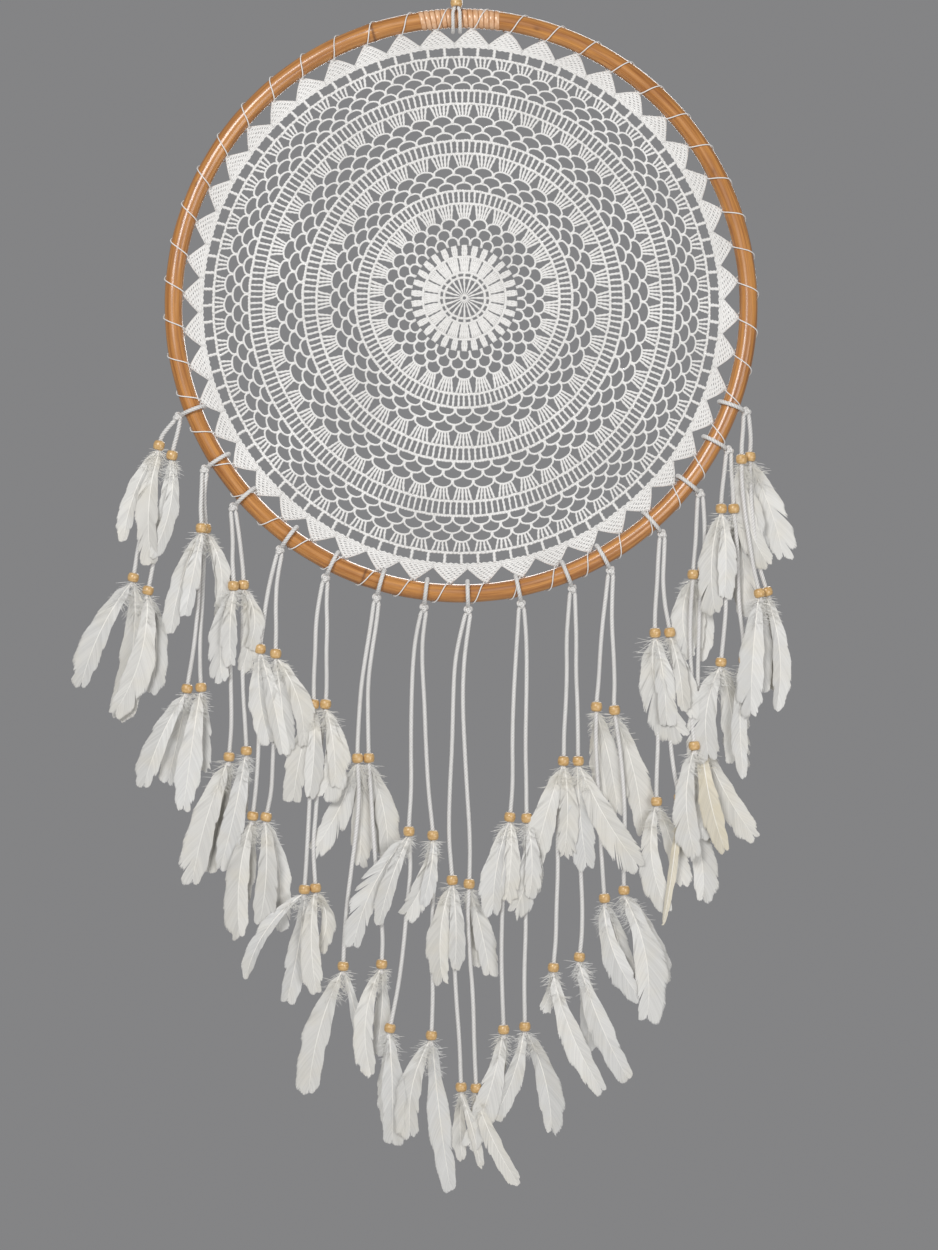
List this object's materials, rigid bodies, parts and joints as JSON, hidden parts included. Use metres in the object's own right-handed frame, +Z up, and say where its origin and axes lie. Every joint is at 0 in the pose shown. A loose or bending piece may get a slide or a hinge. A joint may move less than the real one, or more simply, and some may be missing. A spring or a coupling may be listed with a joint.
{
  "type": "dream catcher",
  "caption": "Wall-hung dream catcher: a round cane hoop laced with a crocheted doily, with beaded cotton cords and feathers hanging below it from knots.",
  "frame": {"origin": "inside top of the hanging loop, where a nail or hook bears", "axes": "+Z up, -Y out of the wall towards the viewer, +X to the viewer's right"},
  "size_m": [0.697, 0.0335, 1.2635],
  "materials": {
    "cane": "varnished rattan cane",
    "cane_binding": "glossy cane strip",
    "cotton_thread": "crocheted white cotton",
    "cotton_cord": "twisted white cotton cord",
    "bead_wood": "varnished turned wood",
    "feather": "off-white feather"
  },
  "bodies": {
    "hanger": {"hanging_loop": "cotton_cord", "hanger_bead": "bead_wood"},
    "hoop": {"rattan_hoop": "cane", "joint_binding": "cane_binding", "crochet_web": "cotton_thread", "lacing_thread": "cotton_thread", "strand_hitches": "cotton_cord"},
    "strand_01": {"strand_01_cord": "cotton_cord", "strand_01_beads": "bead_wood", "strand_01_feathers": "feather"},
    "strand_02": {"strand_02_cord": "cotton_cord", "strand_02_beads": "bead_wood", "strand_02_feathers": "feather"},
    "strand_03": {"strand_03_cord": "cotton_cord", "strand_03_beads": "bead_wood", "strand_03_feathers": "feather"},
    "strand_04": {"strand_04_cord": "cotton_cord", "strand_04_beads": "bead_wood", "strand_04_feathers": "feather"},
    "strand_05": {"strand_05_cord": "cotton_cord", "strand_05_beads": "bead_wood", "strand_05_feathers": "feather"},
    "strand_06": {"strand_06_cord": "cotton_cord", "strand_06_beads": "bead_wood", "strand_06_feathers": "feather"},
    "strand_07": {"strand_07_cord": "cotton_cord", "strand_07_beads": "bead_wood", "strand_07_feathers": "feather"},
    "strand_08": {"strand_08_cord": "cotton_cord", "strand_08_beads": "bead_wood", "strand_08_feathers": "feather"},
    "strand_09": {"strand_09_cord": "cotton_cord", "strand_09_beads": "bead_wood", "strand_09_feathers": "feather"},
    "strand_10": {"strand_10_cord": "cotton_cord", "strand_10_beads": "bead_wood", "strand_10_feathers": "feather"},
    "strand_11": {"strand_11_cord": "cotton_cord", "strand_11_beads": "bead_wood", "strand_11_feathers": "feather"},
    "strand_12": {"strand_12_cord": "cotton_cord", "strand_12_beads": "bead_wood", "strand_12_feathers": "feather"},
    "strand_13": {"strand_13_cord": "cotton_cord", "strand_13_beads": "bead_wood", "strand_13_feathers": "feather"},
    "strand_14": {"strand_14_cord": "cotton_cord", "strand_14_beads": "bead_wood", "strand_14_feathers": "feather"},
    "strand_15": {"strand_15_cord": "cotton_cord", "strand_15_beads": "bead_wood", "strand_15_feathers": "feather"}
  },
  "joints": [
    {"name": "hoop_tilt", "type": "hinge", "parent": "hanger", "child": "hoop", "pos_m": [0, 0, -0.0885], "axis": [1, 0, 0], "range_deg": [-25, 25]},
    {"name": "strand_01_swing", "type": "hinge", "parent": "hoop", "child": "strand_01", "pos_m": [-0.27973, 0, -0.48671], "axis": [1, 0, 0], "range_deg": [-25, 25]},
    {"name": "strand_02_swing", "type": "hinge", "parent": "hoop", "child": "strand_02", "pos_m": [-0.25298, 0, -0.53939], "axis": [1, 0, 0], "range_deg": [-25, 25]},
    {"name": "strand_03_swing", "type": "hinge", "parent": "hoop", "child": "strand_03", "pos_m": [-0.22443, 0, -0.5773], "axis": [1, 0, 0], "range_deg": [-25, 25]},
    {"name": "strand_04_swing", "type": "hinge", "parent": "hoop", "child": "strand_04", "pos_m": [-0.17781, 0, -0.62014], "axis": [1, 0, 0], "range_deg": [-25, 25]},
    {"name": "strand_05_swing", "type": "hinge", "parent": "hoop", "child": "strand_05", "pos_m": [-0.13219, 0, -0.64815], "axis": [1, 0, 0], "range_deg": [-25, 25]},
    {"name": "strand_06_swing", "type": "hinge", "parent": "hoop", "child": "strand_06", "pos_m": [-0.08109, 0, -0.6681], "axis": [1, 0, 0], "range_deg": [-25, 25]},
    {"name": "strand_07_swing", "type": "hinge", "parent": "hoop", "child": "strand_07", "pos_m": [-0.03356, 0, -0.67783], "axis": [1, 0, 0], "range_deg": [-25, 25]},
    {"name": "strand_08_swing", "type": "hinge", "parent": "hoop", "child": "strand_08", "pos_m": [0.01066, 0, -0.68002], "axis": [1, 0, 0], "range_deg": [-25, 25]},
    {"name": "strand_09_swing", "type": "hinge", "parent": "hoop", "child": "strand_09", "pos_m": [0.06387, 0, -0.67405], "axis": [1, 0, 0], "range_deg": [-25, 25]},
    {"name": "strand_10_swing", "type": "hinge", "parent": "hoop", "child": "strand_10", "pos_m": [0.11495, 0, -0.65894], "axis": [1, 0, 0], "range_deg": [-25, 25]},
    {"name": "strand_11_swing", "type": "hinge", "parent": "hoop", "child": "strand_11", "pos_m": [0.15325, 0, -0.64067], "axis": [1, 0, 0], "range_deg": [-25, 25]},
    {"name": "strand_12_swing", "type": "hinge", "parent": "hoop", "child": "strand_12", "pos_m": [0.2048, 0, -0.60393], "axis": [1, 0, 0], "range_deg": [-25, 25]},
    {"name": "strand_13_swing", "type": "hinge", "parent": "hoop", "child": "strand_13", "pos_m": [0.24281, 0, -0.56364], "axis": [1, 0, 0], "range_deg": [-25, 25]},
    {"name": "strand_14_swing", "type": "hinge", "parent": "hoop", "child": "strand_14", "pos_m": [0.27125, 0, -0.52017], "axis": [1, 0, 0], "range_deg": [-25, 25]},
    {"name": "strand_15_swing", "type": "hinge", "parent": "hoop", "child": "strand_15", "pos_m": [0.28871, 0, -0.4815], "axis": [1, 0, 0], "range_deg": [-25, 25]}
  ]
}
